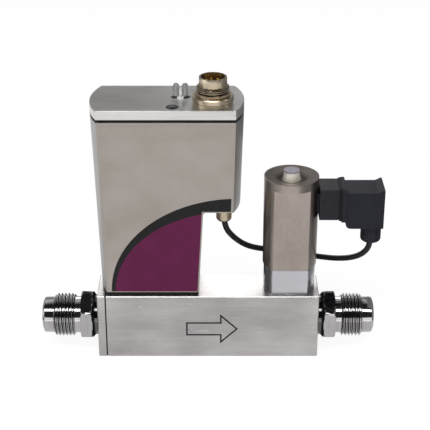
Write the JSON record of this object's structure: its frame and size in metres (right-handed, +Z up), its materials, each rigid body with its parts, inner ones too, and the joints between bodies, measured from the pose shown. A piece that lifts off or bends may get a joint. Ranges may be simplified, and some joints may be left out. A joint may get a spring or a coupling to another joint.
{
  "type": "mass flow controller",
  "caption": "Thermal mass flow controller for gas: bar base with face-seal fittings, drafted housing, solenoid valve and plug.",
  "frame": {"origin": "middle of the base's underside, on the gas line's plane", "axes": "+X along the gas line from inlet to outlet, +Z up through the housing, -Y towards the labelled front"},
  "size_m": [0.1736, 0.038, 0.1492],
  "materials": {
    "brushed_stainless": "brushed lengthwise",
    "turned_stainless": "fine turned",
    "valve_stainless": "fine turned and satin",
    "screw_steel": "plain machined",
    "sintered_steel": "sintered, porous",
    "can_steel": "satin, nickel plated",
    "nut_steel": "polished",
    "nut_disc": "satin lacquer",
    "nickel_plate": "bright nickel plate",
    "gold_plate": "gold flash",
    "tinned_brass": "tinned",
    "copper_wire": "enamelled winding wire",
    "housing_aluminium": "satin anodised",
    "cap_aluminium": "satin anodised",
    "silver_foil": "satin printed foil",
    "black_print": "satin ink",
    "purple_print": "satin ink",
    "black_rubber": "moulded",
    "black_moulding": "fine matte",
    "plug_moulding": "satin, fine grain",
    "brown_moulding": "satin",
    "white_moulding": "satin",
    "clear_moulding": "clear polished acrylic",
    "cable_sheath": "smooth satin sheath",
    "circuit_board": "solder resist over glass laminate"
  },
  "bodies": {
    "controller": {"base_block": "brushed_stainless", "inlet_end_plate": "brushed_stainless", "end_plate_screws": "screw_steel", "line_seals": "black_rubber", "inlet_fitting": "turned_stainless", "outlet_fitting": "turned_stainless", "inlet_filter": "sintered_steel", "flow_element": "turned_stainless", "sensor_base": "turned_stainless", "sensor_seals": "black_rubber", "sensor_screws": "screw_steel", "sensor_tube": "turned_stainless", "sensor_windings": "copper_wire", "sensor_cover": "turned_stainless", "housing": "housing_aluminium", "housing_gasket": "black_rubber", "cap_gasket": "black_rubber", "cap_plate": "cap_aluminium", "tie_rods": "screw_steel", "front_label": "silver_foil", "label_band": "black_print", "label_field": "purple_print", "flow_arrow": "black_print", "main_board": "circuit_board", "board_screws": "screw_steel", "shelf_board": "circuit_board", "board_components": "black_moulding", "connector_shell": "nickel_plate", "connector_washer": "nickel_plate", "connector_nut": "nickel_plate", "connector_pins": "gold_plate", "connector_insert": "brown_moulding", "lens_carrier": "white_moulding", "status_lenses": "clear_moulding", "gland_body": "nickel_plate", "gland_nut": "nickel_plate", "valve_cable": "cable_sheath", "valve_seat": "turned_stainless", "valve_base": "valve_stainless", "valve_base_seal": "black_rubber", "guide_sleeve": "turned_stainless", "pole_piece": "turned_stainless", "plunger_spring": "screw_steel", "coil_washer": "turned_stainless", "coil_bobbin": "black_moulding", "coil_winding": "copper_wire", "coil_can": "can_steel", "coil_nut": "nut_steel", "coil_nut_disc": "nut_disc", "terminal_base": "black_moulding", "terminal_blades": "tinned_brass", "plug_gasket": "black_rubber", "plug_hood": "plug_moulding", "plug_insert": "black_moulding", "plug_screw": "screw_steel", "plug_grommet": "black_rubber"},
    "plunger": {"valve_plunger": "turned_stainless", "plunger_disc": "black_rubber"},
    "button": {"setup_button": "black_moulding"}
  },
  "joints": [
    {"name": "plunger_lift", "type": "slide", "parent": "controller", "child": "plunger", "axis": [0, 0, 1], "range_m": [0, 0.0006], "stiffness_N_per_m": 500, "springref_m": -0.002, "deforming": ["plunger_spring"]},
    {"name": "setup_press", "type": "slide", "parent": "controller", "child": "button", "axis": [0, 0, -1], "range_m": [0, 0.0005], "stiffness_N_per_m": 400}
  ]
}
